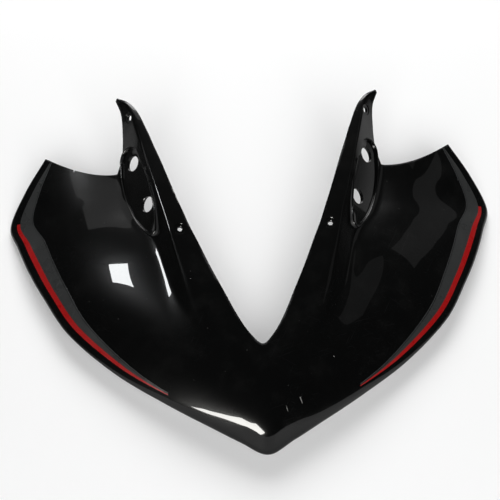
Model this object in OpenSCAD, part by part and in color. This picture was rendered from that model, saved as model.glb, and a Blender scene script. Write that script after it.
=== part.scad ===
// Nose cowl of a motorcycle fairing, one moulding with two film stripes a side.
// Frame: X to the right, Y back from the nose tip, Z up. Millimetres.
// The cowl lies as it comes to rest, on the nose and on the two wing tips.

/* [Wall] */
// Thickness of the moulded wall
wall = 2.5; // [1.8:0.1:3.5]
// Thickness of the stripe film
film = 0.3; // [0.2:0.05:0.6]

/* [Lower edge] */
// Height of the steep lip face at the nose
nose_lip_rise = 14; // [8:0.5:20]
// How far the lip face leans back at the nose
nose_lip_lean = 8; // [4:0.5:12]
// Height of the lip face along the wings
wing_lip_rise = 3.4; // [2:0.2:6]
// How far the lip face leans back along the wings
wing_lip_lean = 2.4; // [1.5:0.1:4]
// Width of the turned-under flange
flange_width = 8; // [5:0.5:14]
// Drop of the flange below the edge
flange_drop = 3; // [1:0.5:5]

/* [Mirror pads] */
// Distance between the two mirror holes
mirror_pitch = 50; // [44:1:56]
// Diameter of a mirror hole
mirror_hole = 15; // [8:0.5:17]
// Height of the rim above the pad floor
rim_height = 2.6; // [1.5:0.1:4]
// Width of the rim round the pad
rim_width = 2.2; // [1.5:0.1:4]
// Thickness of the pad floor
pad_floor = 2.2; // [1.5:0.1:4]
// Width of the stiffening ledge behind the pad floor, outside its holes
ledge_width = 4; // [2:0.5:6]
// How far the ledge stands behind the floor
ledge_depth = 1.8; // [0.5:0.1:4]

/* [Screen screws] */
// Diameter of the screw hole in the strip beside the notch
strip_hole = 4.5; // [4:0.1:8]
// Diameter of the screw hole near the horn tip
horn_hole = 5.5; // [4:0.1:8]
// Diameter of the flat seat round a screw hole
screw_seat = 11; // [9:0.5:12]
// Depth of the seat in the outer face
seat_depth = 0.6; // [0.3:0.1:1.2]
// How far the doubled wall stands out behind a screw hole
doubler = 0.9; // [0.5:0.1:3]
// Width of the doubled wall round a screw hole
doubler_width = 2; // [2:0.1:5]

/* [Hidden] */
fine = 64;
steps = 3;
horn_steps = 2;

// Key points of the right half, one per station from the centre line out to
// the scoop edge that lies between the wing and the horn.
inner_edge = [
    [0, 85, 46], [10, 94, 47.5], [19.8, 110, 50], [32, 136, 54],
    [43, 160, 57.5], [53, 184, 61], [60, 200, 63.5], [66, 216, 66],
    [71.3, 230, 68], [78.5, 250, 71.5], [85.5, 270, 74.5], [92, 287, 77]
];
crease = [
    [0, 62, 43], [16, 72, 45], [33, 88, 48], [50, 108, 51.5],
    [62, 138, 56.5], [71, 168, 60.5], [78, 195, 64.5], [82, 211, 67],
    [87, 229, 69.8], [92, 247, 72.5], [97, 264, 75.2], [101.5, 281, 77.7]
];
valley = [
    [0, 42, 39], [20, 55, 41], [42, 76, 44], [59, 100, 46],
    [74, 128, 46.5], [83.5, 160, 47.5], [92, 190, 49], [102, 208, 47.5],
    [112, 222, 45.5], [119, 239, 43.5], [124.5, 258, 43], [129, 278, 45]
];
bulge = [
    [0, 12, 27], [22, 23, 28.5], [48, 42, 31], [82, 68, 34],
    [110, 100, 37], [138, 135, 39], [155, 165, 40], [164, 190, 40],
    [172, 212, 39], [180, 236, 38], [173, 259, 42], [160, 275.5, 46]
];
lower_edge = [
    [0, -1.8, 3], [24.8, 10.8, 4], [46.6, 23.8, 5], [85.8, 47.7, 7],
    [131, 78.8, 9], [173.8, 119.2, 11.5], [199.2, 159.4, 11.5], [215.2, 189.4, 10.5],
    [228.6, 220.6, 7.5], [238.4, 249, 4], [222.4, 277.5, 23], [202, 304, 40]
];
// Where the stripe lines cross the wing, as shares of its curve down to the lip.
grey_line = [0.8, 0.85, 0.9, 0.93, 0.87, 0.82, 0.79, 0.785, 0.78, 0.825, 0.885, 0.965];
middle_line = [0.87, 0.91, 0.94, 0.965, 0.935, 0.925, 0.925, 0.925, 0.935, 0.962, 0.97, 0.985];
red_line = [0.93, 0.95, 0.97, 0.985, 0.985, 0.985, 0.985, 0.985, 0.99, 0.995, 0.992, 0.995];
// Stations where the stripes start and end.
grey_ends = [3, 11];
red_ends = [3, 9];

// The horn goes on from the scoop edge to its hooked tip.
horn_inner = [
    [92, 287, 77], [95.5, 297, 78.7], [99.5, 307, 80.3], [103.5, 317, 82],
    [108.3, 326.3, 83.5], [115.5, 335, 84.8], [126, 341, 85]
];
horn_crease = [
    [101.5, 281, 77.7], [105, 294, 79.7], [108, 306, 81.7], [110.7, 317, 83.5],
    [113.8, 326.5, 85], [119.5, 334.7, 85.9], [127.3, 340.3, 85]
];
horn_outer = [
    [129, 278, 45], [124.3, 290, 54], [122.9, 302, 61], [122.8, 313, 66.5],
    [123, 322, 71], [124.2, 330.5, 76], [128.3, 338.6, 83]
];

// Mirror pad: how far before the scoop edge its upper hole sits, its share of the
// way from the crease down to the valley and the depth of its floor below that
// line, then the way the floor faces and the way the pad runs.
pad_back = 0.05;
pad_share = 0.49;
pad_sunk = 2.4;
pad_facing = [0.697, -0.229, 0.68];
pad_run = [0.235, 0.963, 0];
// Circles that fill the outline of the pad from its top to its lower end, each as
// distance along the pad, distance out and radius.
pad_circles = [
    [4.5, 0.5, 14.5], [-12, 3.4, 17], [-28, 4.5, 18.3], [-42, 5.2, 17.2],
    [-56, 5, 14.6], [-68, 4.4, 10.4], [-76, 3.8, 6.8]
];
// Room between a mirror hole and the ledge behind it, for the mirror's washer.
ledge_gap = 1.5;
// Skin left between a screw seat and the thicker ring that is set in behind it
seat_cover = 0.4;
// How far a cutting tool for a screw hole runs past the surface on each side
cut_past = 10;
// Stations of the screen screws, on the strip and on the horn, and the share of
// the way from the crease to the outer edge at which the one on the horn sits.
strip_screw = 6;
horn_screw = 3.5;
horn_screw_share = 0.34;

// Shares of the short and of the long side that a crisp fold rounds off. The
// folds fade towards the nose, and the crease softens again at the horn tip.
crisp = 0.13;
crisp_long = 0.05;

last = len(inner_edge) - 1;
horn_last = len(horn_inner) - 1;
edge_row = 7;

function unit(v) = v / norm(v);
function mix(a, b, t) = a + (b - a) * t;
function ease(t) = let (u = min(max(t, 0), 1)) u * u * (3 - 2 * u);
function mirrored(p) = is_num(p) ? p : [-p[0], p[1], p[2]];

// Smooth curve through a list of key points. At the centre line it meets its
// own mirror image; elsewhere the list goes straight on.
function beyond(list, i, joins) =
    i < 0 ? (joins ? mirrored(list[-i]) : 2 * list[0] - list[1]) :
    i >= len(list) ? 2 * list[len(list) - 1] - list[len(list) - 2] :
    list[i];
function smooth(a, b, c, d, t) =
    0.5 * (2 * b + (c - a) * t + (2 * a - 5 * b + 4 * c - d) * t * t
        + (3 * b - a - 3 * c + d) * t * t * t);
function along(list, s, joins = true) =
    let (i = min(max(floor(s), 0), len(list) - 2))
    smooth(beyond(list, i - 1, joins), list[i], list[i + 1], beyond(list, i + 2, joins), s - i);

// Direction from the lower edge into the part, seen from above. It turns to
// straight back at the nose, so that both halves meet there without a fold.
function inward(s) =
    let (a = along(lower_edge, max(s - 0.3, 0)), b = along(lower_edge, min(s + 0.3, last)))
    unit(mix([0, 1, 0], unit([a[1] - b[1], b[0] - a[0], 0]), ease(s / 0.8)));

// Curve from p to q that heads for b, and the bend it makes of a corner.
function arch(p, b, q, t) = (1 - t) * (1 - t) * p + 2 * t * (1 - t) * b + t * t * q;
function bend(a, b, c, before, after, n) = [
    for (k = [0:n]) arch(mix(b, a, before), b, mix(b, c, after), k / n)
];

// Section of the wing side at station s, from the inner edge to the flange.
function section(s) =
    let (
        i = along(inner_edge, s), k = along(crease, s), v = along(valley, s),
        b = along(bulge, s), e = along(lower_edge, s), n = inward(s),
        lean = mix(nose_lip_lean, wing_lip_lean, ease(s / 3)),
        rise = mix(nose_lip_rise, wing_lip_rise, ease((s - 1) / 4)),
        r = e + lean * n + [0, 0, rise],
        f = e + flange_width * n - [0, 0, flange_drop],
        fold = mix(0.46, crisp, ease((s - 2) / 4)),
        fold_long = mix(0.46, crisp_long, ease((s - 2) / 4)),
        dip = mix(0.46, crisp, ease((s - 2) / 3.5)),
        lip = mix(0.4, 0.1, ease(s / 4)),
        g = along(grey_line, s), m = along(middle_line, s), d = along(red_line, s)
    )
    concat(
        [i], bend(i, k, v, fold, fold_long, 3), bend(k, v, b, dip, dip, 4),
        [for (t = [g / 4, g / 2, g * 3 / 4, g, (g + m) / 2, m, d])
            arch(mix(v, b, dip), b, mix(r, b, lip), t)],
        bend(b, r, e, lip, 0.35, 3), bend(r, e, f, 0.44, 0.44, 4), [f]
    );
grey_row = 13;
middle_row = 15;
red_row = 16;

// Section of the horn, from the inner edge to the outer edge. Near the scoop it
// takes over the shape in which the wing side ends.
function horn_rows(i, k, o, fold, fold_long) = concat(
    [i], bend(i, k, o, fold, fold_long, 3), [for (t = [0.76, 0.88, 1]) mix(k, o, t)]
);
scoop = section(last);
scoop_change = [
    for (j = [0:edge_row])
        scoop[j] - horn_rows(horn_inner[0], horn_crease[0], horn_outer[0], crisp, crisp_long)[j]
];
function horn_section(h) =
    let (rows = horn_rows(along(horn_inner, h, false), along(horn_crease, h, false),
        along(horn_outer, h, false), mix(crisp, 0.3, h / horn_last),
        mix(crisp_long, 0.3, h / horn_last)))
    [for (j = [0:edge_row]) rows[j] + (1 - ease(h / 1.5)) * scoop_change[j]];

columns = last * steps;
horn_columns = horn_last * horn_steps;
body = [for (i = [0:columns]) section(i / steps)];
horn = [for (k = [0:horn_columns]) horn_section(k / horn_steps)];
last_row = len(body[0]) - 1;
function rows_of(i) = i <= columns ? last_row : edge_row;

// Grid point of the right half; columns past the scoop edge lie on the horn.
function grid(i, j) =
    i < 0 ? mirrored(body[-i][j]) :
    i <= columns ? body[i][j] :
    horn[i - columns][j];
normals = [
    for (i = [0:columns + horn_columns]) [
        for (j = [0:rows_of(i)])
            let (
                next = min(i + 1, j <= edge_row ? columns + horn_columns : columns),
                u = grid(next, j) - grid(i - 1, j),
                v = grid(i, min(j + 1, rows_of(i))) - grid(i, max(j - 1, 0)),
                n = unit(cross(v, u))
            )
            i == 0 ? unit([0, n[1], n[2]]) : n
    ]
];
// The wall thins a little towards the horn tip.
function thinned(i) = mix(1, 0.6, max(i - columns, 0) / horn_columns);
function lifted(i, j, depth) = grid(i, j) + depth * thinned(i) * normals[i][j];

// Two triangles for the square between four points.
function square_of(a, b, c, d) = [[a, b, c], [a, c, d]];

// Solid between two depths over a block of whole columns and rows, on one side
// of the centre line. side is 1 on the right and -1 on the left.
module patch(side, first, final, top_row, low_row, low, high) {
    wide = low_row - top_row + 1;
    count = (final - first + 1) * wide;
    points = [
        for (depth = [high, low]) for (i = [first:final]) for (j = [top_row:low_row])
            let (p = lifted(i, j, depth)) side > 0 ? p : mirrored(p)
    ];
    function spot(i, j) = (i - first) * wide + j - top_row;
    ring = concat(
        [for (i = [first:final]) spot(i, top_row)],
        [for (j = [top_row + 1:low_row]) spot(final, j)],
        [for (i = [final - 1:-1:first]) spot(i, low_row)],
        [for (j = [low_row - 1:-1:top_row + 1]) spot(first, j)]
    );
    upper = [
        for (i = [first:final - 1]) for (j = [top_row:low_row - 1])
            for (f = square_of(spot(i, j), spot(i + 1, j), spot(i + 1, j + 1), spot(i, j + 1))) f
    ];
    under = [for (f = upper) [f[2] + count, f[1] + count, f[0] + count]];
    sides = [
        for (k = [0:len(ring) - 1])
            let (a = ring[k], b = ring[(k + 1) % len(ring)])
            for (f = square_of(a, a + count, b + count, b)) f
    ];
    faces = concat(upper, under, sides);
    polyhedron(points, side > 0 ? faces : [for (f = faces) [f[2], f[1], f[0]]], convexity = 6);
}

// The whole moulded skin, both halves in one closed surface.
half_count = (columns + 1) * (last_row + 1) + horn_columns * (edge_row + 1);
shared = last_row + 1;
layer_count = 2 * half_count - shared;
function spot(side, i, j) =
    i == 0 ? j :
    (side > 0 ? 0 : half_count - shared)
        + (i <= columns ? i * (last_row + 1) + j :
        (columns + 1) * (last_row + 1) + (i - columns - 1) * (edge_row + 1) + j);
function skin_points(depth) =
    let (right = [
        for (i = [0:columns + horn_columns]) for (j = [0:rows_of(i)]) lifted(i, j, depth)
    ])
    concat(right, [for (k = [shared:half_count - 1]) mirrored(right[k])]);
function skin_faces(side, start, up) = [
    for (i = [0:columns + horn_columns - 1]) for (j = [0:rows_of(i + 1) - 1])
        let (
            a = spot(side, i, j) + start, b = spot(side, i + 1, j) + start,
            c = spot(side, i + 1, j + 1) + start, d = spot(side, i, j + 1) + start
        )
        for (f = square_of(a, b, c, d)) (side > 0) == up ? f : [f[2], f[1], f[0]]
];
// Open edge of one half, from the notch round the horn and the wing to the nose.
rim = concat(
    [for (i = [0:columns + horn_columns]) [i, 0]],
    [for (j = [1:edge_row]) [columns + horn_columns, j]],
    [for (i = [columns + horn_columns - 1:-1:columns]) [i, edge_row]],
    [for (j = [edge_row + 1:last_row]) [columns, j]],
    [for (i = [columns - 1:-1:0]) [i, last_row]]
);
function rim_faces(side) = [
    for (k = [0:len(rim) - 2])
        let (a = spot(side, rim[k][0], rim[k][1]), b = spot(side, rim[k + 1][0], rim[k + 1][1]))
        for (f = square_of(a, a + layer_count, b + layer_count, b))
            side > 0 ? f : [f[2], f[1], f[0]]
];
// Where the whole cowl stands: centred in depth, with its lowest point at zero.
all_points = concat(skin_points(0), skin_points(-wall));
front = min([for (p = all_points) p[1]]);
back = max([for (p = all_points) p[1]]);
lowest = min([for (p = all_points) p[2]]);
module at_rest() {
    translate([0, -(front + back) / 2, -lowest]) children();
}

module skin() {
    polyhedron(
        points = all_points,
        faces = concat(
            skin_faces(1, 0, true), skin_faces(-1, 0, true),
            skin_faces(1, layer_count, false), skin_faces(-1, layer_count, false),
            rim_faces(1), rim_faces(-1)
        ),
        convexity = 8
    );
}

// Puts what follows on a point of the surface, with Z out of it and Y along it.
module placed(point, facing, run) {
    z = unit(facing);
    x = unit(cross(run, z));
    y = cross(z, x);
    multmatrix([
        [x[0], y[0], z[0], point[0]],
        [x[1], y[1], z[1], point[1]],
        [x[2], y[2], z[2], point[2]],
        [0, 0, 0, 1]
    ]) children();
}
module both_sides() {
    children();
    mirror([1, 0, 0]) children();
}

module pad_outline(inset) {
    hull()
        for (t = [0:0.5:len(pad_circles) - 1])
            let (c = along(pad_circles, t, false))
            translate([c[1], c[0]]) circle(r = c[2] - inset, $fn = fine);
}
pad_line = last - pad_back;
pad_hole = mix(along(crease, pad_line), along(valley, pad_line), pad_share)
    - pad_sunk * unit(pad_facing);
module on_pad() {
    placed(pad_hole, pad_facing, pad_run) children();
}
module at_mirror_holes() {
    for (y = [0, -mirror_pitch]) translate([0, y, 0]) children();
}

strip_point = mix(along(inner_edge, strip_screw), along(crease, strip_screw), 0.5);
strip_across = along(crease, strip_screw) - along(inner_edge, strip_screw);
strip_run = along(crease, strip_screw + 0.3) - along(crease, strip_screw - 0.3);
horn_point = mix(
    along(horn_crease, horn_screw, false), along(horn_outer, horn_screw, false), horn_screw_share
);
horn_across = along(horn_outer, horn_screw, false) - along(horn_crease, horn_screw, false);
horn_run = along(horn_crease, horn_screw + 0.3, false) - along(horn_crease, horn_screw - 0.3, false);
module at_strip() {
    placed(strip_point, cross(strip_across, strip_run), strip_run) children();
}
module at_horn() {
    placed(horn_point, cross(horn_across, horn_run), horn_run) children();
}
// The thicker ring of wall behind a screw hole, as wide all round as doubler_width says.
module screw_doubler(hole) {
    translate([0, 0, -wall - doubler])
        cylinder(d = hole + 2 * doubler_width, h = wall + doubler - seat_depth - seat_cover, $fn = fine);
}
module at_screws() {
    at_strip() children();
    at_horn() children();
}

module cowl() {
    color([0.03, 0.03, 0.035])
    at_rest() difference() {
        union() {
            skin();
            both_sides() {
                on_pad() translate([0, 0, -pad_floor])
                    linear_extrude(pad_floor + rim_height) pad_outline(0);
                on_pad() at_mirror_holes() translate([0, 0, -pad_floor - ledge_depth])
                    cylinder(d = mirror_hole + 2 * ledge_gap + 2 * ledge_width,
                        h = ledge_depth + 0.5, $fn = fine);
                at_strip() screw_doubler(strip_hole);
                at_horn() screw_doubler(horn_hole);
            }
        }
        both_sides() {
            on_pad() linear_extrude(14) pad_outline(rim_width);
            on_pad() at_mirror_holes() translate([0, 0, -12]) {
                cylinder(d = mirror_hole, h = 24, $fn = fine);
                cylinder(d = mirror_hole + 2 * ledge_gap, h = 12 - pad_floor, $fn = fine);
            }
            at_screws() translate([0, 0, -seat_depth])
                cylinder(d = screw_seat, h = 5, $fn = fine);
            at_strip() translate([0, 0, -cut_past]) cylinder(d = strip_hole, h = 2 * cut_past, $fn = fine);
            at_horn() translate([0, 0, -cut_past]) cylinder(d = horn_hole, h = 2 * cut_past, $fn = fine);
        }
    }
}

module grey_stripe(side) {
    color([0.2, 0.205, 0.21]) at_rest()
        patch(side, grey_ends[0] * steps, grey_ends[1] * steps, grey_row, middle_row, 0, film);
}
module red_stripe(side) {
    color([0.62, 0.02, 0.03]) at_rest()
        patch(side, red_ends[0] * steps, red_ends[1] * steps, middle_row, red_row, 0, film);
}
module grey_stripe_right() { grey_stripe(1); }
module grey_stripe_left() { grey_stripe(-1); }
module red_stripe_right() { red_stripe(1); }
module red_stripe_left() { red_stripe(-1); }

cowl();
grey_stripe_right();
grey_stripe_left();
red_stripe_right();
red_stripe_left();
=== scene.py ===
# %% [markdown]
# # A glossy nose cowl, piece by piece
# The object is the front moulding of a motorcycle fairing: one V-shaped skin of
# black plastic with two swept wings, two horns for the mirrors, and a grey and a
# red stripe film along each wing. It lies face up on a pale floor. The CAD frame
# comes first, because every piece here has to sit where that frame says.

import bmesh
import bpy
import numpy as np
from math import pi, radians
from mathutils import Matrix, Vector
from mathutils.kdtree import KDTree


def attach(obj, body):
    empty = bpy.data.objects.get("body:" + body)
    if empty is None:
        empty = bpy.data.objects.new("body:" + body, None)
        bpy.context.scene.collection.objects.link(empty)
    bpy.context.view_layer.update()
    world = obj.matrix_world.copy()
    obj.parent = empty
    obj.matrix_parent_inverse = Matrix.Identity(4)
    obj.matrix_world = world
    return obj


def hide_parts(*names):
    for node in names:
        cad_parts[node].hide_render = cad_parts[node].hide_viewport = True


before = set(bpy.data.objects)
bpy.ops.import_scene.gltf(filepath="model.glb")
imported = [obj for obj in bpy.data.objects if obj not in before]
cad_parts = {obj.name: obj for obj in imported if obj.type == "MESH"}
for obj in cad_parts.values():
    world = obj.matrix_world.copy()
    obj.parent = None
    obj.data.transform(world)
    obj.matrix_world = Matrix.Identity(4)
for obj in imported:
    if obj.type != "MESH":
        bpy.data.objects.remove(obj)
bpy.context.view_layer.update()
MM = 0.001

# %% [markdown]
# ## Camera
# The photograph looks down at the cowl from the front, about 56 degrees above the
# floor and a hand's breadth to its left. The place and the slight roll were found
# from pairs of left and right corners, which have to mirror each other. A camera
# is placed best by its three axes, so that the roll is exact.

# %% Camera
VIEW_UP = radians(56.03)
VIEW_SIDE = radians(-4.37)
VIEW_ROLL = radians(1.26)
VIEW_DISTANCE = 0.900
VIEW_TARGET = Vector((-0.0053, 0.0164, 0.040))
MM_PER_PIXEL = 0.93
PHOTO_WIDTH = 500
SENSOR_WIDTH = 36


def camera_axes():
    """Right, up and backward directions of the camera."""
    level_part = np.cos(VIEW_UP)
    back = Vector((np.sin(VIEW_SIDE) * level_part, -np.cos(VIEW_SIDE) * level_part, np.sin(VIEW_UP)))
    level = Vector((np.cos(VIEW_SIDE), np.sin(VIEW_SIDE), 0))
    upright = back.cross(level)
    right = np.cos(VIEW_ROLL) * level + np.sin(VIEW_ROLL) * upright
    up = -np.sin(VIEW_ROLL) * level + np.cos(VIEW_ROLL) * upright
    return right, up, back


def add_camera():
    right, up, back = camera_axes()
    data = bpy.data.cameras.new("camera")
    data.sensor_width = SENSOR_WIDTH
    data.lens = SENSOR_WIDTH * VIEW_DISTANCE / (PHOTO_WIDTH * MM_PER_PIXEL * MM)
    data.clip_start = 0.01
    camera = bpy.data.objects.new("camera", data)
    place = Matrix((right, up, back)).transposed().to_4x4()
    place.translation = VIEW_TARGET + VIEW_DISTANCE * back
    camera.matrix_world = place
    bpy.context.scene.collection.objects.link(camera)
    bpy.context.scene.camera = camera
    return camera


camera = add_camera()
print("camera at", [round(v, 3) for v in camera.matrix_world.translation])
print("lens", round(camera.data.lens, 1))

# %% [markdown]
# ## Floor, room and lamps
# Gloss shows the room more than it shows itself. Black lacquer sends back a few
# hundredths of what it sees, so a dim room keeps it black and small bright lamps
# give it hard white windows. Two wide lamps, one behind the cowl and one in front,
# light the floor and the stripes with soft shadows. The skin mirrors hardly any of
# the first, and gloss is set not to see the second. The small lamps are the other
# way round: only gloss sees them, so each adds a window or a wall to the skin and
# throws no light on the floor.

# %% Floor and room
FLOOR_WHITE = (0.94, 0.94, 0.94, 1)
FLOOR_REACH = 4
ROOM_LIGHT = 0.05


def add_floor():
    mesh = bpy.data.meshes.new("floor")
    corners = [(x * FLOOR_REACH, y * FLOOR_REACH, 0) for x, y in ((-1, -1), (1, -1), (1, 1), (-1, 1))]
    mesh.from_pydata(corners, [], [(0, 1, 2, 3)])
    floor = bpy.data.objects.new("floor", mesh)
    bpy.context.scene.collection.objects.link(floor)
    material = bpy.data.materials.new("floor_white")
    material.use_nodes = True
    shader = material.node_tree.nodes["Principled BSDF"]
    shader.inputs["Base Color"].default_value = FLOOR_WHITE
    shader.inputs["Roughness"].default_value = 0.9
    shader.inputs["Specular IOR Level"].default_value = 0
    mesh.materials.append(material)
    return floor


def add_room():
    world = bpy.data.worlds.new("room")
    bpy.context.scene.world = world
    world.use_nodes = True
    background = world.node_tree.nodes["Background"]
    background.inputs["Color"].default_value = (1, 1, 1, 1)
    background.inputs["Strength"].default_value = ROOM_LIGHT
    return world


add_floor()
add_room()
bpy.context.scene.view_settings.view_transform = "Standard"
print("floor and room are in place")

# %% Lamps
# A lamp is placed by the way it lies from a point on the cowl: its turn from
# straight back towards the right, its height in degrees, and its distance.


def seen_from(point, turn, height, distance):
    a, e = radians(turn), radians(height)
    return Vector(point) + distance * Vector((np.sin(a) * np.cos(e), np.cos(a) * np.cos(e), np.sin(e)))


def add_lamp(name, point, turn, height, distance, size, radiance, roll=0, colour=(1, 1, 1)):
    """A rectangular lamp that faces the point. size is its width and height."""
    data = bpy.data.lights.new(name, "AREA")
    data.shape = "RECTANGLE"
    data.size, data.size_y = size
    data.energy = radiance * pi * size[0] * size[1]
    data.color = colour
    lamp = bpy.data.objects.new(name, data)
    lamp.location = seen_from(point, turn, height, distance)
    aim = (Vector(point) - lamp.location).to_track_quat("-Z", "Y").to_matrix()
    lamp.rotation_euler = (aim @ Matrix.Rotation(radians(roll), 3, "Z")).to_euler()
    bpy.context.scene.collection.objects.link(lamp)
    return lamp


def add_reflection(*values, **more):
    """A lamp that only gloss sees."""
    lamp = add_lamp(*values, **more)
    lamp.visible_diffuse = lamp.visible_camera = False


# Places on the skin, in metres, where the photograph shows the reflections.
LEFT_WING, LEFT_LIP = (-0.124, -0.004, 0.043), (-0.045, -0.140, 0.020)
LEFT_ROOT, RIGHT_WING = (-0.145, 0.080, 0.042), (0.078, -0.045, 0.047)
LEFT_STRIP, RIGHT_TIP = (-0.105, 0.140, 0.083), (0.190, 0.080, 0.035)
add_lamp("lamp_behind", (0, 0, 0), 2, 32, 2.4, (1.8, 0.9), 11)
fill = add_lamp("lamp_front", (0, 0, 0), 178, 42, 2.4, (2.2, 1.6), 4.6)
fill.visible_glossy = False
add_reflection("lamp_window", LEFT_WING, -51.7, 56.6, 0.41, (0.056, 0.062), 50, 35, colour=(0.97, 0.99, 1))
add_reflection("lamp_lip", LEFT_LIP, -152, 22, 0.57, (0.36, 0.26), 45, 62, colour=(1, 0.99, 0.95))
add_reflection("lamp_wall_left", LEFT_ROOT, -29.5, 56.7, 0.09, (0.082, 0.02), 0.8, -26.6)
add_reflection("lamp_wall_right", RIGHT_WING, 56, 61, 0.66, (0.19, 0.2), 0.2, -21)
add_reflection("lamp_cloth", RIGHT_TIP, 55, 40, 0.57, (0.16, 0.33), 0.32, 21)
add_reflection("lamp_strip", LEFT_STRIP, 26, 48, 1.6, (0.4, 0.4), 1.2)

# %% [markdown]
# ## The lines that the skin runs through
# A fairing is drawn from a few long lines: the inner edge round the screen, the
# crease and the valley of the horn, the bulge of the wing and its lower edge. The
# same key points, in millimetres, shape the CAD solid. Here the skin is drawn
# through them again with many more steps, so that gloss runs over it smoothly.

# %% Key points
INNER_EDGE = np.array([
    [0, 85, 46], [10, 94, 47.5], [19.8, 110, 50], [32, 136, 54],
    [43, 160, 57.5], [53, 184, 61], [60, 200, 63.5], [66, 216, 66],
    [71.3, 230, 68], [78.5, 250, 71.5], [85.5, 270, 74.5], [92, 287, 77]], float)
CREASE = np.array([
    [0, 62, 43], [16, 72, 45], [33, 88, 48], [50, 108, 51.5],
    [62, 138, 56.5], [71, 168, 60.5], [78, 195, 64.5], [82, 211, 67],
    [87, 229, 69.8], [92, 247, 72.5], [97, 264, 75.2], [101.5, 281, 77.7]], float)
VALLEY = np.array([
    [0, 42, 39], [20, 55, 41], [42, 76, 44], [59, 100, 46],
    [74, 128, 46.5], [83.5, 160, 47.5], [92, 190, 49], [102, 208, 47.5],
    [112, 222, 45.5], [119, 239, 43.5], [124.5, 258, 43], [129, 278, 45]], float)
BULGE = np.array([
    [0, 12, 27], [22, 23, 28.5], [48, 42, 31], [82, 68, 34],
    [110, 100, 37], [138, 135, 39], [155, 165, 40], [164, 190, 40],
    [172, 212, 39], [180, 236, 38], [173, 259, 42], [160, 275.5, 46]], float)
LOWER_EDGE = np.array([
    [0, -1.8, 3], [24.8, 10.8, 4], [46.6, 23.8, 5], [85.8, 47.7, 7],
    [131, 78.8, 9], [173.8, 119.2, 11.5], [199.2, 159.4, 11.5], [215.2, 189.4, 10.5],
    [228.6, 220.6, 7.5], [238.4, 249, 4], [222.4, 277.5, 23], [202, 304, 40]], float)
HORN_INNER = np.array([
    [92, 287, 77], [95.5, 297, 78.7], [99.5, 307, 80.3], [103.5, 317, 82],
    [108.3, 326.3, 83.5], [115.5, 335, 84.8], [126, 341, 85]], float)
HORN_CREASE = np.array([
    [101.5, 281, 77.7], [105, 294, 79.7], [108, 306, 81.7], [110.7, 317, 83.5],
    [113.8, 326.5, 85], [119.5, 334.7, 85.9], [127.3, 340.3, 85]], float)
HORN_OUTER = np.array([
    [129, 278, 45], [124.3, 290, 54], [122.9, 302, 61], [122.8, 313, 66.5],
    [123, 322, 71], [124.2, 330.5, 76], [128.3, 338.6, 83]], float)
GREY_LINE = np.array([0.8, 0.85, 0.9, 0.93, 0.87, 0.82, 0.79, 0.785, 0.78, 0.825, 0.885, 0.965])
MIDDLE_LINE = np.array([0.87, 0.91, 0.94, 0.965, 0.935, 0.925, 0.925, 0.925, 0.935, 0.962, 0.97, 0.985])
RED_LINE = np.array([0.93, 0.95, 0.97, 0.985, 0.985, 0.985, 0.985, 0.985, 0.99, 0.995, 0.992, 0.995])
WALL = 2.5
LAST = len(INNER_EDGE) - 1
HORN_LAST = len(HORN_INNER) - 1
print("stations", LAST + 1, "on the wing side and", HORN_LAST + 1, "on the horn")

# %% Curves through key points


def beyond(keys, i, joins):
    """Key point i, or the one that the line would have before its start or end."""
    if i < 0:
        if not joins:
            return 2 * keys[0] - keys[1]
        return keys[-i] * np.array([-1, 1, 1]) if keys.ndim > 1 else keys[-i]
    if i >= len(keys):
        return 2 * keys[-1] - keys[-2]
    return keys[i]


def along(keys, s, joins=True):
    """Smooth line through the key points, at station s."""
    i = int(min(max(np.floor(s), 0), len(keys) - 2))
    t = s - i
    a, b, c, d = beyond(keys, i - 1, joins), keys[i], keys[i + 1], beyond(keys, i + 2, joins)
    return 0.5 * (2 * b + (c - a) * t + (2 * a - 5 * b + 4 * c - d) * t**2 + (3 * b - a - 3 * c + d) * t**3)


def mix(a, b, t):
    return a + (b - a) * t


def ease(t):
    t = min(max(t, 0), 1)
    return t * t * (3 - 2 * t)


def unit(v):
    return v / np.linalg.norm(v)


def arch(p, b, q, t):
    return (1 - t) ** 2 * p + 2 * t * (1 - t) * b + t * t * q


print("inner edge at station 5.5:", along(INNER_EDGE, 5.5).round(1))

# %% [markdown]
# ## Sections of the skin
# Each section crosses the skin from the screen edge to the flange under the lip.
# It follows straight pieces with rounded corners. The corners are wide at the
# centre line, where the fold fades out, and tight at the horn, where the real
# moulding has a crisp crease. Three rows are kept for the stripe lines.

# %% Sections
EDGE_STEPS, FOLD_STEPS, FLANK_STEPS, DIP_STEPS = 3, 8, 6, 12
WING_STEPS, GREY_STEPS, RED_STEPS = 16, 6, 3
LIP_STEPS, TURN_STEPS = 6, 8
NOSE_LIP = (14.0, 8.0)
WING_LIP = (3.4, 2.4)
FLANGE = (8.0, 3.0)
# Stations over which the lip grows less steep and the corners grow tight.
LEAN_FADE, RISE_FROM, RISE_FADE, LIP_FADE = 3, 1, 4, 4
FOLD_FROM, FOLD_FADE, DIP_FADE = 2, 4, 3.5
INWARD_FADE, NEAR = 0.8, 0.3
# Shares of a side that a corner rounds off.
CRISP, CRISP_LONG, OPEN_FOLD = 0.13, 0.05, 0.46
NOSE_CORNER, WING_CORNER = 0.4, 0.1
LIP_SHARE, FLANGE_SHARE = 0.35, 0.44


def inward(s):
    """The way into the part, seen from above. It turns to straight back at the nose."""
    a, b = along(LOWER_EDGE, max(s - NEAR, 0)), along(LOWER_EDGE, min(s + NEAR, LAST))
    square = unit(np.array([a[1] - b[1], b[0] - a[0], 0]))
    return unit(mix(np.array([0.0, 1.0, 0.0]), square, ease(s / INWARD_FADE)))


def bend(a, b, c, before, after, n):
    return [arch(mix(b, a, before), b, mix(b, c, after), k / n) for k in range(n + 1)]


def edge_rows(i, k, fold):
    """The flat rows between the screen edge and the fold."""
    return [mix(i, mix(k, i, fold), t) for t in np.linspace(0, 1, EDGE_STEPS + 1)[:-1]]


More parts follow.
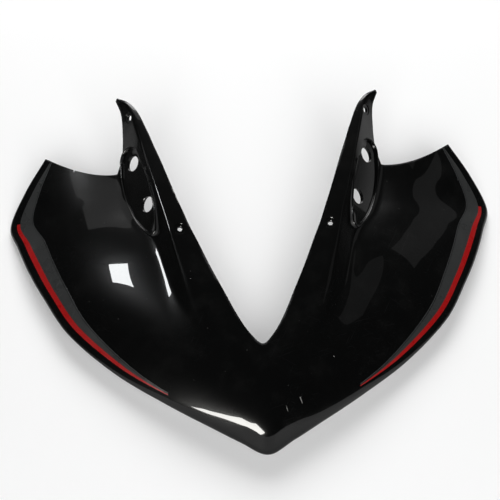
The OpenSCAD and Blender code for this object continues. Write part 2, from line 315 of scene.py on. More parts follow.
def section(s):
    i, k, v = along(INNER_EDGE, s), along(CREASE, s), along(VALLEY, s)
    b, e, n = along(BULGE, s), along(LOWER_EDGE, s), inward(s)
    lean = mix(NOSE_LIP[1], WING_LIP[1], ease(s / LEAN_FADE))
    rise = mix(NOSE_LIP[0], WING_LIP[0], ease((s - RISE_FROM) / RISE_FADE))
    r = e + lean * n + np.array([0, 0, rise])
    f = e + FLANGE[0] * n - np.array([0, 0, FLANGE[1]])
    fold = mix(OPEN_FOLD, CRISP, ease((s - FOLD_FROM) / FOLD_FADE))
    fold_long = mix(OPEN_FOLD, CRISP_LONG, ease((s - FOLD_FROM) / FOLD_FADE))
    dip = mix(OPEN_FOLD, CRISP, ease((s - FOLD_FROM) / DIP_FADE))
    lip = mix(NOSE_CORNER, WING_CORNER, ease(s / LIP_FADE))
    g, m, d = along(GREY_LINE, s), along(MIDDLE_LINE, s), along(RED_LINE, s)
    shares = np.concatenate([
        np.linspace(0, g, WING_STEPS + 1)[1:], np.linspace(g, m, GREY_STEPS + 1)[1:],
        np.linspace(m, d, RED_STEPS + 1)[1:]])
    first, final = mix(v, b, dip), mix(r, b, lip)
    flank = np.linspace(0, 1, FLANK_STEPS + 1)[1:-1]
    points = edge_rows(i, k, fold)
    points += bend(i, k, v, fold, fold_long, FOLD_STEPS)
    points += [mix(mix(k, v, fold_long), mix(v, k, dip), t) for t in flank]
    points += bend(k, v, b, dip, dip, DIP_STEPS)
    points += [arch(first, b, final, t) for t in shares]
    points += bend(b, r, e, lip, LIP_SHARE, LIP_STEPS)
    points += bend(r, e, f, FLANGE_SHARE, FLANGE_SHARE, TURN_STEPS)
    return np.array(points + [mix(points[-1], f, 0.5), f])


EDGE_ROW = EDGE_STEPS + FOLD_STEPS + FLANK_STEPS + DIP_STEPS // 2
GREY_ROW = EDGE_ROW + DIP_STEPS // 2 + WING_STEPS
MIDDLE_ROW = GREY_ROW + GREY_STEPS
RED_ROW = MIDDLE_ROW + RED_STEPS
print("rows", len(section(5.0)), "horn edge row", EDGE_ROW, "stripe rows", GREY_ROW, MIDDLE_ROW, RED_ROW)

# %% Horn sections
# The horn's first rows are moved onto the scoop edge, and that move fades out
# along the horn.
HORN_DIP, TIP_FOLD, SCOOP_FADE = 0.76, 0.3, 1.5
HORN_LINES = (HORN_INNER, HORN_CREASE, HORN_OUTER)


def horn_rows(i, k, o, fold, fold_long):
    points = edge_rows(i, k, fold)
    points += bend(i, k, o, fold, fold_long, FOLD_STEPS)
    shares = np.concatenate([
        np.linspace(fold_long, HORN_DIP, FLANK_STEPS + 1)[1:-1],
        np.linspace(HORN_DIP, 1, DIP_STEPS // 2 + 1)])
    return np.array(points + [mix(k, o, t) for t in shares])


HORN_START = horn_rows(*[keys[0] for keys in HORN_LINES], CRISP, CRISP_LONG)
SCOOP_CHANGE = section(LAST)[:EDGE_ROW + 1] - HORN_START


def horn_section(h):
    lines = [along(keys, h, False) for keys in HORN_LINES]
    fold, fold_long = (mix(share, TIP_FOLD, h / HORN_LAST) for share in (CRISP, CRISP_LONG))
    return horn_rows(*lines, fold, fold_long) + (1 - ease(h / SCOOP_FADE)) * SCOOP_CHANGE


print("horn rows", len(horn_section(2.0)))

# %% The grid of the right half
STEPS, HORN_STEPS = 12, 8
TIP_THINNING = 0.6
COLUMNS, HORN_COLUMNS = LAST * STEPS, HORN_LAST * HORN_STEPS
body_grid = [section(i / STEPS) for i in range(COLUMNS + 1)]
horn_grid = [horn_section(k / HORN_STEPS) for k in range(HORN_COLUMNS + 1)]
LAST_ROW = len(body_grid[0]) - 1


def rows_of(i):
    return LAST_ROW if i <= COLUMNS else EDGE_ROW


def grid(i, j):
    if i < 0:
        return body_grid[-i][j] * np.array([-1, 1, 1])
    return body_grid[i][j] if i <= COLUMNS else horn_grid[i - COLUMNS][j]


def grid_normal(i, j):
    end = COLUMNS + HORN_COLUMNS if j <= EDGE_ROW else COLUMNS
    across = grid(min(i + 1, end), j) - grid(i - 1, j)
    down = grid(i, min(j + 1, rows_of(i))) - grid(i, max(j - 1, 0))
    n = np.cross(down, across)
    return unit(n * np.array([0, 1, 1])) if i == 0 else unit(n)


normals = [[grid_normal(i, j) for j in range(rows_of(i) + 1)] for i in range(COLUMNS + HORN_COLUMNS + 1)]


def lifted(i, j, depth):
    """Grid point moved off the surface. The wall thins a little towards the horn tip."""
    return grid(i, j) + depth * mix(1, TIP_THINNING, max(i - COLUMNS, 0) / HORN_COLUMNS) * normals[i][j]


# The key points count from the nose, and the frame's origin lies further back.
Y_SHIFT = -170.484
print("columns", COLUMNS + 1, "and", HORN_COLUMNS, "rows", LAST_ROW + 1)

# %% [markdown]
# ## The skin as one closed mesh
# The outer face, the inner face and the rim between them make one closed solid.
# Closed solids cut cleanly, which the pads and the screw holes need. A moulding
# never ends in a knife edge, so the rim is a small half round: that thin bright
# line along its edges is what tells the eye that the skin has a thickness.

# %% Mesh helpers


def to_world(p):
    return (p[0] * MM, (p[1] + Y_SHIFT) * MM, p[2] * MM)


def new_object(name, points, faces, inner=(), smooth=True):
    """Mesh object. Faces whose number is in inner take the second material."""
    mesh = bpy.data.meshes.new(name)
    mesh.from_pydata(points, [], faces)
    mesh.polygons.foreach_set("material_index", [int(k in inner) for k in range(len(faces))])
    bm = bmesh.new()
    bm.from_mesh(mesh)
    bmesh.ops.remove_doubles(bm, verts=bm.verts, dist=1e-7)
    bmesh.ops.recalc_face_normals(bm, faces=bm.faces)
    bm.to_mesh(mesh)
    bm.free()
    for face in mesh.polygons:
        face.use_smooth = smooth
    piece = bpy.data.objects.new(name, mesh)
    bpy.context.scene.collection.objects.link(piece)
    return piece


print("mesh helpers are ready, the frame's origin is", -Y_SHIFT, "mm behind the nose point")

# %% The rim's half round
RIM_ROUND, RIM_STEPS = 0.6, 3
RIM_PATH = [(i, 0) for i in range(COLUMNS + HORN_COLUMNS + 1)]
RIM_PATH += [(COLUMNS + HORN_COLUMNS, j) for j in range(1, EDGE_ROW + 1)]
RIM_PATH += [(i, EDGE_ROW) for i in range(COLUMNS + HORN_COLUMNS - 1, COLUMNS - 1, -1)]
RIM_PATH += [(COLUMNS, j) for j in range(EDGE_ROW + 1, LAST_ROW + 1)]
RIM_PATH += [(i, LAST_ROW) for i in range(COLUMNS - 1, -1, -1)]


def rim_rows(k):
    """Points from the outer edge round to the inner edge, at place k of the rim."""
    i, j = RIM_PATH[k]
    before, after = RIM_PATH[max(k - 1, 0)], RIM_PATH[min(k + 1, len(RIM_PATH) - 1)]
    across = np.cross(grid(*after) - grid(*before), normals[i][j])
    if i == 0:
        across[0] = 0
    out = across / max(np.linalg.norm(across), 1e-9)
    outer, inner = grid(i, j), lifted(i, j, -WALL)
    down = inner - outer
    thick = np.linalg.norm(down)
    rows = []
    for a in np.linspace(0, pi / 2, RIM_STEPS + 1)[1:]:
        rows.append((RIM_ROUND * np.sin(a), RIM_ROUND * (1 - np.cos(a)) / thick))
    rows += [(d, 1 - t) for d, t in rows[::-1]]
    return [outer + d * out + t * down for d, t in rows]


print("rim places", len(RIM_PATH), "rows", len(rim_rows(40)))

# %% Skin


def skin_object():
    """Both halves, outer and inner face and rim, as one object."""
    points, faces, place, inner = [], [], {}, set()
    for side in (1, -1):
        for depth in (0, -WALL):
            for i in range(COLUMNS + HORN_COLUMNS + 1):
                for j in range(rows_of(i) + 1):
                    if i == 0 and side < 0:
                        place[side, depth, i, j] = place[1, depth, i, j]
                        continue
                    p = lifted(i, j, depth)
                    place[side, depth, i, j] = len(points)
                    points.append(to_world((p[0] * side, p[1], p[2])))
    for side in (1, -1):
        for depth in (0, -WALL):
            for i in range(COLUMNS + HORN_COLUMNS):
                for j in range(rows_of(i + 1)):
                    quad = [place[side, depth, *q] for q in ((i, j), (i + 1, j), (i + 1, j + 1), (i, j + 1))]
                    if depth:
                        inner.add(len(faces))
                    faces.append(quad)
        previous = None
        for k, q in enumerate(RIM_PATH):
            row = [place[side, 0, *q]]
            for p in rim_rows(k):
                row.append(len(points))
                points.append(to_world((p[0] * side, p[1], p[2])))
            row.append(place[side, -WALL, *q])
            if previous:
                for t in range(len(row) - 1):
                    faces.append([previous[t], previous[t + 1], row[t + 1], row[t]])
            previous = row
    return new_object("cowl_skin", points, faces, inner)


skin = skin_object()
print("skin faces", len(skin.data.polygons))

# %% [markdown]
# ## Mirror pads and screw seats
# Each mirror stands on a flat sunk pad inside a raised, rounded rim, with two
# through holes. The pad is a loft: the same teardrop outline, drawn smaller and
# higher or lower at each step, which gives the rim its rounded lip. The sunk
# part is first cut out of the skin, and the loft is then joined to it. Round
# things, such as the ledges behind the holes and the screw seats, are turned.

# %% Pad frame and outline
PAD_PLACE, PAD_SHARE, PAD_SUNK = LAST - 0.05, 0.49, 2.4
PAD_FACING = np.array([0.697, -0.229, 0.68])
PAD_RUN = np.array([0.235, 0.963, 0])
PAD_HOLE = mix(along(CREASE, PAD_PLACE), along(VALLEY, PAD_PLACE), PAD_SHARE) - PAD_SUNK * unit(PAD_FACING)
PAD_CIRCLES = np.array([
    [4.5, 0.5, 14.5], [-12, 3.4, 17], [-28, 4.5, 18.3], [-42, 5.2, 17.2],
    [-56, 5, 14.6], [-68, 4.4, 10.4], [-76, 3.8, 6.8]])
OUTLINE_CIRCLES = [along(PAD_CIRCLES, t, False) for t in np.arange(0, len(PAD_CIRCLES) - 0.9, 0.1)]
MIRROR_PITCH, MIRROR_HOLE = 50.0, 15.0
PAD_RIM_HEIGHT, PAD_RIM_WIDTH, PAD_FLOOR, PAD_LIP_STEPS = 2.6, 2.2, 2.2, 10
POCKET_SHARE, POCKET_FROM, POCKET_TO = 0.6, 0.2, 14
LEDGE_GAP, LEDGE_WIDTH, LEDGE_DEPTH, LEDGE_TOP = 1.5, 4.0, 1.8, -1
# Broken edges of the pad floor, of a mirror hole and of what stands out behind.
FLOOR_BREAK, HOLE_BREAK, BACK_BREAK = 0.5, 0.35, 0.4
# How the rim's foot runs out on the floor: distance past the rim, and height.
PAD_FOOT = ((0.05, 0.6), (0.25, 0.18), (0.7, 0))
# How far the cutting tools run past the faces that they cut.
CUT_PAST, DEEP_PAST, SCREW_PAST = 3, 5, 2


def frame_at(point, facing, run):
    z = unit(facing)
    x = unit(np.cross(run, z))
    return point, x, np.cross(z, x), z


def placed(at, p):
    point, x, y, z = at
    return point + p[0] * x + p[1] * y + p[2] * z


def outline(inset, count=200):
    """The teardrop round the circles, by the furthest point in each direction."""
    points = []
    for a in np.linspace(0, 2 * pi, count, endpoint=False):
        d = np.array([np.cos(a), np.sin(a)])
        c = max(OUTLINE_CIRCLES, key=lambda c: c[1] * d[0] + c[0] * d[1] + c[2])
        points.append(np.array([c[1], c[0]]) + (c[2] - inset) * d)
    return points


print("pad outline", len(outline(0)), "points, hole at", PAD_HOLE.round(2))

# %% Lofts and turned pieces


def ringed(name, rings, side, inner_rings):
    """Closed solid through rings of points. The faces below inner_rings are inside ones."""
    n = len(rings[0])
    points = [to_world((q[0] * side, q[1], q[2])) for ring in rings for q in ring]
    faces, inner = [], set()
    for r in range(len(rings) - 1):
        for k in range(n):
            if r < inner_rings:
                inner.add(len(faces))
            faces.append((r * n + k, r * n + (k + 1) % n, (r + 1) * n + (k + 1) % n, (r + 1) * n + k))
    if inner_rings:
        inner.add(len(faces))
    faces.append(tuple(range(n))[::-1])
    faces.append(tuple(range((len(rings) - 1) * n, len(rings) * n)))
    return new_object(name, points, faces, inner)


def loft(name, at, steps, side, inner_rings=0):
    rings = [[placed(at, (p[0], p[1], height)) for p in outline(inset)] for inset, height in steps]
    return ringed(name, rings, side, inner_rings)


def turned(name, at, profile, side, inner_rings=0, count=64):
    """Closed round solid through (radius, height) pairs about the local Z axis."""
    angles = np.linspace(0, 2 * pi, count, endpoint=False)
    rings = [[placed(at, (r * np.cos(a), r * np.sin(a), h)) for a in angles] for r, h in profile]
    return ringed(name, rings, side, inner_rings)


print("lofts have", len(outline(0)), "points a ring")

# %% Cutting and joining


def combine(target, tools, operation):
    """Join the tools to the target, or cut them out of it, and delete them."""
    for tool in tools:
        step = target.modifiers.new("step", "BOOLEAN")
        step.operation = operation
        step.solver = "MANIFOLD"
        step.object = tool
        bpy.context.view_layer.objects.active = target
        bpy.ops.object.modifier_apply(modifier=step.name)
        bpy.data.objects.remove(tool)


def raised_back(reach, back, top):
    """Profile of a round step on the back, with its outer edge broken."""
    return [(reach - BACK_BREAK, back), (reach, back + BACK_BREAK), (reach, top)]


def pad_parts(side):
    at = frame_at(PAD_HOLE, PAD_FACING, PAD_RUN)
    inset = PAD_RIM_WIDTH * POCKET_SHARE
    pocket = loft("pocket", at, [(inset, POCKET_FROM), (inset, POCKET_TO)], side)
    lip = PAD_RIM_WIDTH / 2
    rings = [(FLOOR_BREAK, -PAD_FLOOR), (0, -PAD_FLOOR + FLOOR_BREAK), (0, PAD_RIM_HEIGHT - lip)]
    for a in np.linspace(0, pi, PAD_LIP_STEPS + 1)[1:]:
        rings.append((lip - lip * np.cos(a), PAD_RIM_HEIGHT - lip + lip * np.sin(a)))
    rings += [(PAD_RIM_WIDTH + past, height) for past, height in PAD_FOOT]
    pad = loft("pad", at, rings, side, inner_rings=2)
    ledges, holes = [], []
    back = -PAD_FLOOR - LEDGE_DEPTH
    r = MIRROR_HOLE / 2
    washer, reach = r + LEDGE_GAP, r + LEDGE_GAP + LEDGE_WIDTH
    ledge = raised_back(reach, back, LEDGE_TOP)
    hole = [(r, back - DEEP_PAST), (r, -HOLE_BREAK), (r + HOLE_BREAK, 0), (r + HOLE_BREAK, CUT_PAST)]
    for y in (0, -MIRROR_PITCH):
        here = frame_at(placed(at, (0, y, 0)), PAD_FACING, PAD_RUN)
        ledges.append(turned("ledge", here, ledge, side, len(ledge)))
        holes.append(turned("recess", here, [(washer, back - CUT_PAST), (washer, -PAD_FLOOR)], side))
        holes.append(turned("hole", here, hole, side))
    return pocket, pad, ledges, holes


print("mirror hole", MIRROR_HOLE, "mm, pitch", MIRROR_PITCH, "mm")

# %% Screw seats
SCREW_SEAT, SEAT_DEPTH, SEAT_COVER = 11.0, 0.6, 0.3
DOUBLER, DOUBLER_WIDTH = 0.9, 2.0
EDGE_BREAK, SEAT_ROUND, SEAT_BREAK = 0.45, 0.2, 0.1
STRIP_SCREW, STRIP_SHARE, STRIP_HOLE = 6, 0.5, 4.5
HORN_SCREW, HORN_SHARE, HORN_HOLE = 3.5, 0.34, 5.5


def screw_parts(side, point, across, run, hole):
    at = frame_at(point, np.cross(across, run), run)
    back, seat, r = -WALL - DOUBLER, SCREW_SEAT / 2, hole / 2
    ring = raised_back(r + DOUBLER_WIDTH, back, -SEAT_DEPTH - SEAT_COVER)
    boss = turned("doubler", at, ring, side, len(ring))
    sink = turned("seat", at, [
        (seat - SEAT_ROUND, -SEAT_DEPTH), (seat, -SEAT_DEPTH + SEAT_ROUND), (seat, -SEAT_BREAK),
        (seat + SEAT_BREAK, 0), (seat + SEAT_BREAK, DEEP_PAST)], side)
    wide = r + EDGE_BREAK
    bore = turned("screw", at, [
        (wide, back - SCREW_PAST), (wide, back), (r, back + EDGE_BREAK),
        (r, -SEAT_DEPTH - EDGE_BREAK), (wide, -SEAT_DEPTH), (wide, SCREW_PAST)], side)
    return boss, [sink, bore]


def between(a, b, s, share, joins):
    p, q = along(a, s, joins), along(b, s, joins)
    return mix(p, q, share), q - p


def run_of(keys, s, joins):
    """The way a line runs at station s."""
    return along(keys, s + NEAR, joins) - along(keys, s - NEAR, joins)


print("screw holes", STRIP_HOLE, "and", HORN_HOLE, "mm")

# %% Pads and screws of both sides
joined, cut = [], []
for side in (1, -1):
    pocket, pad, ledges, holes = pad_parts(side)
    combine(skin, [pocket], "DIFFERENCE")
    strip_point, strip_across = between(INNER_EDGE, CREASE, STRIP_SCREW, STRIP_SHARE, True)
    strip_run = run_of(CREASE, STRIP_SCREW, True)
    horn_point, horn_across = between(HORN_CREASE, HORN_OUTER, HORN_SCREW, HORN_SHARE, False)
    horn_run = run_of(HORN_CREASE, HORN_SCREW, False)
    boss_a, cuts_a = screw_parts(side, strip_point, strip_across, strip_run, STRIP_HOLE)
    boss_b, cuts_b = screw_parts(side, horn_point, horn_across, horn_run, HORN_HOLE)
    joined += [pad, *ledges, boss_a, boss_b]
    cut += [*holes, *cuts_a, *cuts_b]
combine(skin, joined, "UNION")
combine(skin, cut, "DIFFERENCE")
skin.data.set_sharp_from_angle(angle=radians(34))
inside_faces = sum(f.material_index for f in skin.data.polygons)
print("cowl faces after cutting", len(skin.data.polygons), "of them inside", inside_faces)

# %% [markdown]
# ## How far each point lies from an edge
# Wear sits where hands and clips touch: along the rims. A shader cannot measure
# that by itself on a cut mesh, so the distance is worked out once, from the rim's
# own points, and kept on the mesh as a named value that every material may read.

# %% Distance to the rim
RIM_REACH = 5.0


def keep_value(piece, name, values):
    layer = piece.data.attributes.new(name, "FLOAT", "POINT")
    layer.data.foreach_set("value", np.asarray(values, dtype=np.float32))


def rim_nearness(piece):
    tree = KDTree(2 * len(RIM_PATH))
    for k, (i, j) in enumerate(RIM_PATH):
        p = grid(i, j)
        for n, side in enumerate((1, -1)):
            tree.insert(to_world((p[0] * side, p[1], p[2])), 2 * k + n)
    tree.balance()
    return [1 - min(tree.find(v.co)[2] / (RIM_REACH * MM), 1) for v in piece.data.vertices]


keep_value(skin, "rim_near", rim_nearness(skin))
print("points near the rim", sum(v.value > 0 for v in skin.data.attributes["rim_near"].data))

# %% [markdown]
# ## Stripe films
# The films are thin sheets that follow the skin exactly, so each is a patch of
# the same grid, lifted a little and sunk a little. Each point keeps its distance
# from the film's inner edge, where the real grey film has a dark and a pale hairline.

# %% Stripe patches
FILM_LIFT, FILM_SUNK = 0.12, -0.05
FILM_START, GREY_END, RED_END = 3 * STEPS, 11 * STEPS, 9 * STEPS


def film_object(name, side, first, final, top_row, low_row):
    points, faces, place, from_edge = [], [], {}, []
    for depth in (FILM_LIFT, FILM_SUNK):
        for i in range(first, final + 1):
            for j in range(top_row, low_row + 1):
                p = lifted(i, j, depth)
                place[depth, i, j] = len(points)
                points.append(to_world((p[0] * side, p[1], p[2])))
                from_edge.append(np.linalg.norm(grid(i, j) - grid(i, top_row)))
    for depth in (FILM_LIFT, FILM_SUNK):
        for i in range(first, final):
            for j in range(top_row, low_row):
                faces.append([place[depth, *q] for q in ((i, j), (i + 1, j), (i + 1, j + 1), (i, j + 1))])
    ring = [(i, top_row) for i in range(first, final + 1)]
    ring += [(final, j) for j in range(top_row + 1, low_row + 1)]
    ring += [(i, low_row) for i in range(final - 1, first - 1, -1)]
    ring += [(first, j) for j in range(low_row - 1, top_row, -1)]
    for a, b in zip(ring, ring[1:] + ring[:1]):
        faces.append([
            place[FILM_LIFT, *a], place[FILM_SUNK, *a], place[FILM_SUNK, *b], place[FILM_LIFT, *b]])
    piece = new_object(name, points, faces)
    keep_value(piece, "from_edge", from_edge)
    piece.data.set_sharp_from_angle(angle=radians(40))
    return piece


films = {}
for side, word in ((1, "right"), (-1, "left")):
    films["grey", word] = film_object("grey_film_" + word, side, FILM_START, GREY_END, GREY_ROW, MIDDLE_ROW)
    films["red", word] = film_object("red_film_" + word, side, FILM_START, RED_END, MIDDLE_ROW, RED_ROW)
print("films", [f.name for f in films.values()])

# %% [markdown]
# ## Finishes
# The lacquer is two layers: a slightly hazy black and a clear coat over it. The
# hazy layer spreads a faint glow round each lamp, and the coat keeps its sharp
# window. Wear is made of small effects, each a node group with named inputs, so
# that paint, film and bare plastic can share them at their own strengths.

# %% Node helpers


class Nodes:
    """Short words for building one node tree from left to right."""

    def __init__(self, tree):
        self.tree = tree

    def add(self, kind, settings=None, **links):
        node = self.tree.nodes.new(kind)
        for name, value in (settings or {}).items():
            setattr(node, name, value)
        for name, value in links.items():
            self.feed(node.inputs[name.replace("_", " ")], value)
        return node

    def feed(self, socket, value):
        if isinstance(value, bpy.types.NodeSocket):
            self.tree.links.new(value, socket)
        else:
            socket.default_value = value

    def place(self):
        return self.add("ShaderNodeTexCoord").outputs["Object"]

    def noise(self, place, scale, detail, **more):
        return self.add("ShaderNodeTexNoise", Vector=place, Scale=scale, Detail=detail, **more).outputs[0]

    def math(self, operation, *values):
        node = self.tree.nodes.new("ShaderNodeMath")
        node.operation = operation
        for socket, value in zip(node.inputs, values):
            self.feed(socket, value)
        return node.outputs[0]

    def vector(self, operation, *values, out=0):
        node = self.tree.nodes.new("ShaderNodeVectorMath")
        node.operation = operation
        for socket, value in zip(node.inputs, values):
            self.feed(socket, value)
        return node.outputs[out]

    def ramp(self, value, low, high, start=0.0, end=1.0):
        node = self.tree.nodes.new("ShaderNodeMapRange")
        node.interpolation_type = "SMOOTHSTEP"
        for socket, item in zip(node.inputs, (value, low, high, start, end)):
            self.feed(socket, item)
        return node.outputs[0]

    def mixed(self, factor, a, b):
        node = self.tree.nodes.new("ShaderNodeMix")
        node.data_type = "RGBA"
        for socket, item in zip((node.inputs[0], node.inputs[6], node.inputs[7]), (factor, a, b)):
            self.feed(socket, item)
        return node.outputs[2]


def new_group(name, inputs, outputs):
    """Node group with sockets given as (name, kind, default). Returns it, Nodes, inputs."""
    tree = bpy.data.node_groups.new(name, "ShaderNodeTree")
    for label, kind, default in inputs:
        socket = tree.interface.new_socket(label, in_out="INPUT", socket_type=kind)
        socket.default_value = default
    for label, kind in outputs:
        tree.interface.new_socket(label, in_out="OUTPUT", socket_type=kind)
    return tree, Nodes(tree), tree.nodes.new("NodeGroupInput").outputs


FLOAT, VECTOR = "NodeSocketFloat", "NodeSocketVector"
MASK = [("Mask", FLOAT)]
print("node helpers are ready")

# %% Hairline scratches
# Stretched noise gives long thin lines. Three directions are laid over each
# other, and a slow noise keeps them to patches, as wiping with a cloth does.
# Each direction is a turn in radians with a seed of its own.
HAIRLINE_TURNS = ((0.5, 1.3), (2.1, 7.7), (1.25, 4.1))
HAIRLINE_STRETCH = (1, 0.02, 0.3)


def hairline_group():
    tree, n, given = new_group("hairlines", [("Fineness", FLOAT, 900), ("Amount", FLOAT, 0.5)], MASK)
    place = n.place()
    total = None
    for turn, seed in HAIRLINE_TURNS:
        spun = n.add("ShaderNodeVectorRotate", {"rotation_type": "Z_AXIS"}, Vector=place, Angle=turn)
        thin = n.vector("MULTIPLY", spun.outputs[0], HAIRLINE_STRETCH)
        lines = n.add("ShaderNodeTexNoise", {"noise_dimensions": "4D"},
                      Vector=thin, W=seed, Scale=given["Fineness"], Detail=1.0)
        line = n.ramp(lines.outputs[0], 0.66, 0.72)
        total = line if total is None else n.math("MAXIMUM", total, line)
    patches = n.noise(place, 14.0, 2.0)
    kept = n.math("MULTIPLY", total, n.ramp(patches, 0.42, 0.68))
    n.add("NodeGroupOutput", Mask=n.math("MULTIPLY", kept, given["Amount"]))
    return tree


hairlines = hairline_group()
print("group", hairlines.name)

# %% Worn rims
# Fine noise makes the worn band ragged, and slow noise breaks it into patches.


def rim_wear_group():
    tree, n, given = new_group("worn_rim", [("Width", FLOAT, 0.5), ("Amount", FLOAT, 0.5)], MASK)
    near = n.add("ShaderNodeAttribute", {"attribute_name": "rim_near"}).outputs["Fac"]
    place = n.place()
    rough = n.noise(place, 260.0, 4.0, Roughness=0.7)
    slow = n.noise(place, 24.0, 1.0)
    reach = n.math("ADD", near, n.math("MULTIPLY", n.math("SUBTRACT", rough, 0.5), 0.5))
    band = n.ramp(reach, n.math("SUBTRACT", 1.0, given["Width"]), 1.0)
    patchy = n.math("MULTIPLY", band, n.ramp(slow, 0.4, 0.65))
    n.add("NodeGroupOutput", Mask=n.math("MULTIPLY", patchy, given["Amount"]))
    return tree


worn_rim = rim_wear_group()
print("group", worn_rim.name)

# %% Settled dust
# A few cells of a cell pattern hold a speck, a faint veil lies between them, and
# both settle only on what faces up.


def dust_group():
    tree, n, given = new_group("settled_dust", [("Spacing", FLOAT, 220), ("Amount", FLOAT, 0.5)], MASK)
    place = n.place()
    cells = n.add("ShaderNodeTexVoronoi", Vector=place, Scale=given["Spacing"])
    dot = n.ramp(cells.outputs["Distance"], 0.10, 0.04)
    chance = n.add("ShaderNodeSeparateColor", Color=cells.outputs["Color"]).outputs[0]
    chosen = n.math("GREATER_THAN", chance, 0.86)
    normal = n.add("ShaderNodeNewGeometry").outputs["Normal"]
    up = n.add("ShaderNodeSeparateXYZ", Vector=normal).outputs[2]
    veil = n.math("MULTIPLY", n.ramp(n.noise(place, 36.0, 5.0, Roughness=0.65), 0.45, 0.8), 0.12)
    all_dust = n.math("MAXIMUM", n.math("MULTIPLY", dot, chosen), veil)
    settled = n.math("MULTIPLY", all_dust, n.ramp(up, 0.1, 0.7))
    n.add("NodeGroupOutput", Mask=n.math("MULTIPLY", settled, given["Amount"]))
    return tree


settled_dust = dust_group()
print("group", settled_dust.name)

# %% One scratch or chip
# A mark is a short stroke round a point: inside its length and its width the
# mask is one. Each real mark of the photographed part gets its own stroke.


def mark_group():
    tree, n, given = new_group("single_mark", [
        ("Centre", VECTOR, (0, 0, 0)), ("Run", VECTOR, (1, 0, 0)),
        ("Length", FLOAT, 0.004), ("Width", FLOAT, 0.0005)], MASK)
    place = n.place()
    offset = n.vector("SUBTRACT", place, given["Centre"])
    run = n.vector("NORMALIZE", given["Run"])
    travel = n.vector("DOT_PRODUCT", offset, run, out=1)
    foot = n.add("ShaderNodeVectorMath", {"operation": "SCALE"}, Vector=run, Scale=travel).outputs[0]
    aside = n.vector("LENGTH", n.vector("SUBTRACT", offset, foot), out=1)
    wide = n.math("MULTIPLY", given["Width"], n.ramp(n.noise(place, 1400.0, 3.0), 0.3, 0.7, 0.4, 1.3))
    side_mask = n.ramp(n.math("DIVIDE", aside, wide), 1.0, 0.6)
    end_mask = n.ramp(n.math("DIVIDE", n.math("ABSOLUTE", travel), given["Length"]), 0.5, 0.42)
    n.add("NodeGroupOutput", Mask=n.math("MULTIPLY", side_mask, end_mask))
    return tree


single_mark = mark_group()
print("group", single_mark.name)

# %% Moulding ripple
# Slow waves for sprayed lacquer, with as much fine grain as bare plastic needs.


def ripple_group():
    tree, n, given = new_group(
        "lacquer_ripple", [("Fineness", FLOAT, 260), ("Grain", FLOAT, 0.0)], [("Height", FLOAT)])
    place = n.place()
    grain = n.math("MULTIPLY", n.noise(place, 2600.0, 2.0), given["Grain"])
    n.add("NodeGroupOutput", Height=n.math("ADD", n.noise(place, given["Fineness"], 1.0), grain))
    return tree


lacquer_ripple = ripple_group()
print("group", lacquer_ripple.name)

# %% Material helpers


def start_material(name, roughness, specular, coat=0.0, coat_roughness=0.03):
    material = bpy.data.materials.new(name)
    material.use_nodes = True
    shader = material.node_tree.nodes["Principled BSDF"]
    shader.inputs["Roughness"].default_value = roughness
    shader.inputs["Specular IOR Level"].default_value = specular
    shader.inputs["Coat Weight"].default_value = coat
    shader.inputs["Coat Roughness"].default_value = coat_roughness
    return material, Nodes(material.node_tree), shader


def use_group(n, tree, **values):
    return n.add("ShaderNodeGroup", {"node_tree": tree}, **values).outputs[0]


def bumped(n, shader, height, strength, distance):
    bump = n.add("ShaderNodeBump", Strength=strength, Distance=distance, Height=height)
    n.feed(shader.inputs["Normal"], bump.outputs[0])


print("material helpers are ready")


# %% [markdown]
# ## Black lacquer, bare inside, grey and red film
# Marks seen in the photograph: two short scratches beside the nose, a few white
# specks, and a rubbed, chipped place on the inner edge of the left side.

# %% Black lacquer
# Each mark is a centre and a run in metres, then its length and width.
MARKS = (
    ((0.0298, -0.1341, 0.0316), (0.31, -0.82, -0.49), 0.0061, 0.0004),
    ((0.0172, -0.1411, 0.0314), (0.26, -0.83, -0.49), 0.0050, 0.0002),
    ((0.0613, -0.0976, 0.0386), (0.69, -0.63, -0.36), 0.0014, 0.0003),
    ((-0.061, -0.0231, 0.0573), (0.85, -0.52, -0.09), 0.0010, 0.0003),
    ((-0.0741, 0.0673, 0.0694), (0.33, -0.93, -0.17), 0.0056, 0.0009),
    ((-0.0707, 0.0578, 0.0678), (0.34, -0.93, -0.14), 0.0083, 0.0007),
)


BLACK_LOW, BLACK_HIGH = (0.0008, 0.0009, 0.0009, 1), (0.0016, 0.0017, 0.0017, 1)
WIPED_GREY, WORN_GREY = (0.03, 0.03, 0.032, 1), (0.05, 0.05, 0.052, 1)
DUST_GREY, MARK_GREY = (0.12, 0.12, 0.115, 1), (0.26, 0.26, 0.25, 1)
COAT, COAT_WORN = 0.42, 0.12


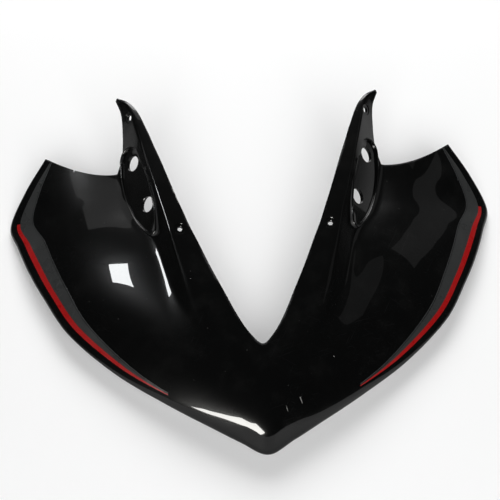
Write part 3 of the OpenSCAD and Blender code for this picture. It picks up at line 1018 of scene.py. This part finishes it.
def cowl_paint():
    material, n, shader = start_material("cowl_paint", 0.3, 0.06, COAT, 0.012)
    hair = use_group(n, hairlines, Fineness=950.0, Amount=0.25)
    worn = use_group(n, worn_rim, Width=0.42, Amount=0.85)
    dust = use_group(n, settled_dust, Spacing=150.0, Amount=0.6)
    marks = None
    for centre, run, length, width in MARKS:
        mark = use_group(n, single_mark, Centre=centre, Run=run, Length=length, Width=width)
        marks = mark if marks is None else n.math("MAXIMUM", marks, mark)
    colour = n.mixed(n.noise(n.place(), 9.0, 3.0), BLACK_LOW, BLACK_HIGH)
    colour = n.mixed(n.math("MULTIPLY", hair, 0.25), colour, WIPED_GREY)
    colour = n.mixed(worn, colour, WORN_GREY)
    colour = n.mixed(n.math("MULTIPLY", dust, 0.3), colour, DUST_GREY)
    n.feed(shader.inputs["Base Color"], n.mixed(marks, colour, MARK_GREY))
    dull = n.math("MAXIMUM", n.math("MULTIPLY", hair, 0.5), n.math("MAXIMUM", worn, marks))
    n.feed(shader.inputs["Roughness"], n.ramp(dull, 0.0, 1.0, 0.27, 0.6))
    n.feed(shader.inputs["Coat Weight"], n.ramp(dull, 0.0, 1.0, COAT, COAT_WORN))
    bumped(n, shader, use_group(n, lacquer_ripple, Fineness=170.0, Grain=0.0), 0.12, 0.0002)
    return material


paint = cowl_paint()
print("material", paint.name, "with", len(MARKS), "marks")

# %% Bare inside
PLASTIC_LOW, PLASTIC_HIGH = (0.010, 0.010, 0.011, 1), (0.022, 0.022, 0.023, 1)
PLASTIC_WIPED, PLASTIC_RUBBED = (0.08, 0.08, 0.08, 1), (0.09, 0.088, 0.085, 1)


def cowl_inside():
    material, n, shader = start_material("cowl_inside", 0.55, 0.4)
    hair = use_group(n, hairlines, Fineness=700.0, Amount=0.9)
    worn = use_group(n, worn_rim, Width=0.5, Amount=0.7)
    dust = use_group(n, settled_dust, Spacing=90.0, Amount=0.5)
    cloud = n.noise(n.place(), 30.0, 5.0)
    colour = n.mixed(cloud, PLASTIC_LOW, PLASTIC_HIGH)
    colour = n.mixed(n.math("MULTIPLY", hair, 0.5), colour, PLASTIC_WIPED)
    rubbed = n.math("MAXIMUM", worn, n.math("MULTIPLY", dust, 0.4))
    n.feed(shader.inputs["Base Color"], n.mixed(rubbed, colour, PLASTIC_RUBBED))
    n.feed(shader.inputs["Roughness"], n.ramp(cloud, 0.3, 0.7, 0.46, 0.64))
    bumped(n, shader, use_group(n, lacquer_ripple, Fineness=420.0, Grain=0.6), 0.3, 0.0003)
    return material


inside = cowl_inside()
print("material", inside.name)

# %% Grey and red film
GREY_LOW, GREY_HIGH = (0.0255, 0.0265, 0.0265, 1), (0.0285, 0.0295, 0.0295, 1)
RED_LOW, RED_HIGH = (0.31, 0.0035, 0.004, 1), (0.33, 0.0045, 0.005, 1)
DARK_HAIRLINE, PALE_HAIRLINE = (0.002, 0.002, 0.002, 1), (0.05, 0.052, 0.053, 1)
FILM_DULLED = (0.2, 0.2, 0.2, 1)


def stripe_film(name, low, high, hairline_edge):
    material, n, shader = start_material(name, 0.3, 0.3, 0.4, 0.03)
    hair = use_group(n, hairlines, Fineness=800.0, Amount=0.3)
    dust = use_group(n, settled_dust, Spacing=140.0, Amount=0.2)
    grain = n.noise(n.place(), 60.0, 4.0)
    colour = n.mixed(grain, low, high)
    colour = n.mixed(n.math("MULTIPLY", n.math("MAXIMUM", hair, dust), 0.3), colour, FILM_DULLED)
    if hairline_edge:
        away = n.add("ShaderNodeAttribute", {"attribute_name": "from_edge"}).outputs["Fac"]
        colour = n.mixed(n.ramp(away, 1.35, 1.15), colour, DARK_HAIRLINE)
        colour = n.mixed(n.ramp(away, 0.55, 0.45), colour, PALE_HAIRLINE)
    n.feed(shader.inputs["Base Color"], colour)
    n.feed(shader.inputs["Roughness"], n.ramp(n.math("MAXIMUM", hair, grain), 0.3, 1.0, 0.26, 0.5))
    bumped(n, shader, use_group(n, lacquer_ripple, Fineness=320.0, Grain=0.15), 0.15, 0.0002)
    return material


grey = stripe_film("grey_film", GREY_LOW, GREY_HIGH, True)
red = stripe_film("red_film", RED_LOW, RED_HIGH, False)
side_of_face = [f.material_index for f in skin.data.polygons]
skin.data.materials.clear()
skin.data.materials.append(paint)
skin.data.materials.append(inside)
skin.data.polygons.foreach_set("material_index", side_of_face)
for (colour, word), film in films.items():
    film.data.materials.append(grey if colour == "grey" else red)
print("materials", [m.name for m in bpy.data.materials], "inside faces", sum(side_of_face))

# %% [markdown]
# ## Taking the place of the plain solids
# The moulding and its films are one rigid thing, so each dressed piece rides on
# the one body and takes the place of the plain solid that has the same size.

# %% Riding and replacing
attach(skin, "root")
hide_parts("cowl")
for (colour, word), film in films.items():
    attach(film, "root")
    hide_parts(f"{colour}_stripe_{word}")
print("pieces on the root body", 1 + len(films))
